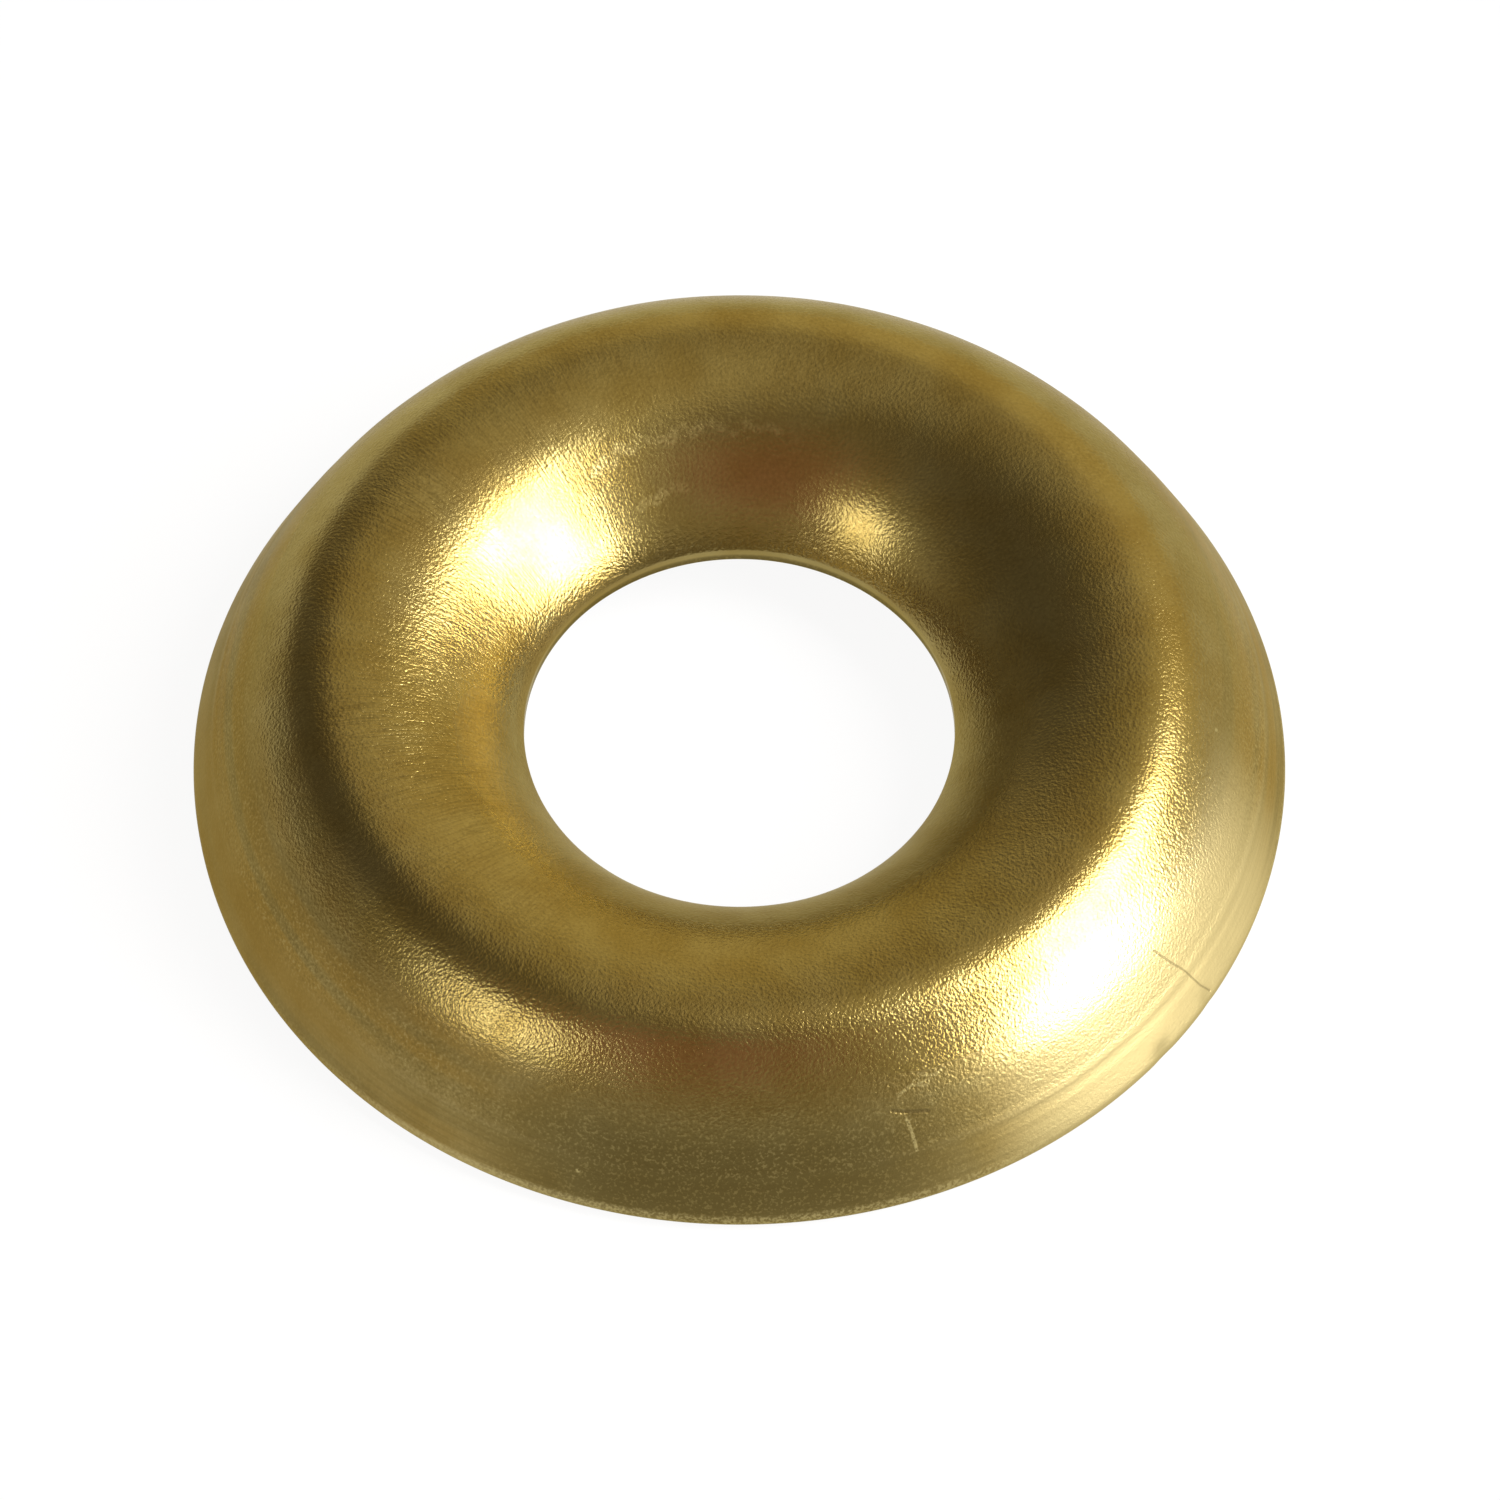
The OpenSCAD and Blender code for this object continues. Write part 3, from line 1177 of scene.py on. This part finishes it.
@dataclass(frozen=True)
class Studio:
    """Floor sweep, lamps and the dim warm room around them."""

    lamps: tuple[Softbox, ...] = (
        Softbox(
            "key_softbox",
            azimuth=77.5,
            elevation=30.0,
            distance=0.12,
            width=0.066,
            height=0.162,
            radiance=16.0,
            roll=-28.0,
        ),
        Softbox(
            "fill_softbox",
            azimuth=-48.0,
            elevation=27.0,
            distance=0.14,
            width=0.033,
            height=0.043,
            radiance=6.2,
        ),
    )
    room: Colour = (0.54, 0.475, 0.345, 1.0)
    patches: tuple[RoomPatch, ...] = (
        RoomPatch(azimuth=-122.0, elevation=45.0, spread=58.0, colour=(0.16, 0.142, 0.115, 1.0)),
        RoomPatch(azimuth=-11.0, elevation=47.0, spread=32.0, colour=(0.46, 0.238, 0.180, 1.0)),
        RoomPatch(azimuth=4.0, elevation=75.0, spread=17.0, colour=(0.28, 0.235, 0.165, 1.0)),
        RoomPatch(azimuth=155.0, elevation=12.0, spread=60.0, colour=(1.02, 0.87, 0.50, 1.0)),
        RoomPatch(azimuth=135.0, elevation=72.0, spread=30.0, colour=(0.80, 0.70, 0.48, 1.0)),
    )
    floor_r: float = 2.0
    floor_rings: int = 64
    floor_columns: int = 96
    floor_drop: float = 0.01 * MM
    floor_tone: Colour = (0.86, 0.86, 0.86, 1.0)
    wall_h: float = 0.06
    wall_start: float = 0.75
    shadow_r: float = 18.0 * MM
    shadow_share: float = 0.08

    def build(self) -> None:
        """Makes the room, the lamps and the floor."""
        self.build_room()
        for lamp in self.lamps:
            made = lamp.build()
            log.info("%s: %.3f W", made.name, made.data.energy)
        self.build_floor()

    def build_room(self) -> None:
        """Colours the world: a plain tone, blended to each patch by the angle to its middle."""
        world = bpy.data.worlds.new("studio_room")
        world.use_nodes = True
        bpy.context.scene.world = world
        sheet = NodeSheet(world.node_tree)
        way = sheet.add("ShaderNodeTexCoord").outputs["Generated"]
        colour: object = self.room
        for patch in self.patches:
            middle = direction(math.radians(patch.azimuth), math.radians(patch.elevation))
            nearness = sheet.add(
                "ShaderNodeVectorMath", {0: way, 1: tuple(middle)}, operation="DOT_PRODUCT"
            ).outputs["Value"]
            share = sheet.ramp(nearness, math.cos(math.radians(patch.spread)), 1.0)
            colour = sheet.mix(share, colour, patch.colour)
        background = sheet.add("ShaderNodeBackground", {"Color": colour, "Strength": 1.0})
        sheet.add("ShaderNodeOutputWorld", {"Surface": background.outputs[0]})

    def build_floor(self) -> bpy.types.Object:
        """Makes the sweep: a disc whose height is nil near the washer and rises to a low wall at its edge.

        Returns:
            The floor's object.
        """
        rings, columns = self.floor_rings, self.floor_columns
        share = np.linspace(0.0, 1.0, rings)[1:]
        angle = np.linspace(0.0, 2.0 * math.pi, columns, endpoint=False)
        radius = self.floor_r * share**2
        height = self.wall_h * smoothstep(self.wall_start, 1.0, share) - self.floor_drop
        across = np.outer(radius, np.cos(angle)), np.outer(radius, np.sin(angle))
        ring = np.stack([*across, np.outer(height, np.ones(columns))], -1).reshape(-1, 3)
        points = np.concatenate([[[0.0, 0.0, -self.floor_drop]], ring])
        index = 1 + np.arange((rings - 1) * columns).reshape(rings - 1, columns)
        beside = np.roll(index, -1, axis=1)
        fan = np.stack([np.zeros(columns, int), index[0], beside[0]], -1)
        bands = np.stack([index[:-1], index[1:], beside[1:], beside[:-1]], -1).reshape(-1, 4)
        mesh = bpy.data.meshes.new("floor_sweep")
        mesh.from_pydata(points.tolist(), [], fan.tolist() + bands.tolist())
        mesh.shade_smooth()
        mesh.materials.append(self.floor_material())
        floor = bpy.data.objects.new("floor_sweep", mesh)
        bpy.context.scene.collection.objects.link(floor)
        return floor

    def floor_material(self) -> bpy.types.Material:
        """Pale floor that the camera and reflections see as white, with the washer's shadow kept around it.

        Returns:
            The material.
        """
        made = bpy.data.materials.new("white_sweep")
        made.use_nodes = True
        sheet = NodeSheet(made.node_tree)
        path = sheet.add("ShaderNodeLightPath")
        seen = sheet.math("ADD", path.outputs["Is Camera Ray"], path.outputs["Is Glossy Ray"])
        seen = sheet.math("MINIMUM", sheet.math("ADD", seen, path.outputs["Is Transmission Ray"]), 1.0)
        place = sheet.add("ShaderNodeTexCoord").outputs["Object"]
        away = sheet.add("ShaderNodeVectorMath", {0: place}, operation="LENGTH").outputs["Value"]
        white = sheet.add(
            "ShaderNodeMapRange",
            {
                "Value": away,
                "From Min": self.shadow_r / 2,
                "From Max": self.shadow_r,
                "To Min": 1.0 - self.shadow_share,
                "To Max": 1.0,
            },
        ).outputs[0]
        pale = sheet.add("ShaderNodeBsdfDiffuse", {"Color": self.floor_tone})
        glow = sheet.add("ShaderNodeEmission", {"Color": WHITE, "Strength": 1.0})
        share = sheet.math("MULTIPLY", seen, white)
        mixed = sheet.add("ShaderNodeMixShader", {0: share, 1: pale.outputs[0], 2: glow.outputs[0]})
        sheet.add("ShaderNodeOutputMaterial", {"Surface": mixed.outputs[0]})
        return made


@dataclass(frozen=True)
class PhotoView:
    """Camera of the photograph: the rim's centre and radius in its pixels, and how far it looks down."""

    rim_r: float
    image_px: float = 1500.0
    centre_px: tuple[float, float] = (739.4, 774.9)
    rim_px: float = 546.1
    elevation: float = math.radians(55.84)
    distance: float = 0.6
    sensor_mm: float = 36.0
    clip_ratio: float = 20.0

    def build(self) -> bpy.types.Object:
        """Makes the camera; it is moved across its view so that the rim's centre falls on its pixel.

        Returns:
            The camera's object, set as the scene's camera.
        """
        per_px = self.rim_r / self.rim_px
        back = direction(0.0, self.elevation)
        right = Vector((1.0, 0.0, 0.0))
        up = back.cross(right)
        middle = self.image_px / 2
        aim = right * (middle - self.centre_px[0]) * per_px + up * (self.centre_px[1] - middle) * per_px
        data = bpy.data.cameras.new("photo_camera")
        data.sensor_width = self.sensor_mm
        data.lens = self.sensor_mm * self.distance / (self.image_px * per_px)
        data.clip_start = self.distance / self.clip_ratio
        data.clip_end = self.distance * self.clip_ratio
        camera = bpy.data.objects.new("photo_camera", data)
        camera.location = aim + back * self.distance
        camera.rotation_mode = "QUATERNION"
        camera.rotation_quaternion = back.to_track_quat("Z", "Y")
        bpy.context.scene.collection.objects.link(camera)
        bpy.context.scene.camera = camera
        return camera


def main() -> None:
    """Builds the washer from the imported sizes, then the studio and the camera."""
    logging.basicConfig(level=logging.INFO, format="%(name)s: %(message)s")
    bpy.context.scene.view_settings.view_transform = "Standard"
    _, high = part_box(NODE)
    hole = next(mount for mount in frame["record"]["mounts"] if mount["name"] == "screw_hole")
    section = WasherSection(rim_r=high.x, hole_r=hole["dims"]["r_mm"] * MM, crown_h=high.z)
    CupWasher(section).build()
    Studio().build()
    PhotoView(section.rim_r).build()


if __name__ == "__main__":
    main()
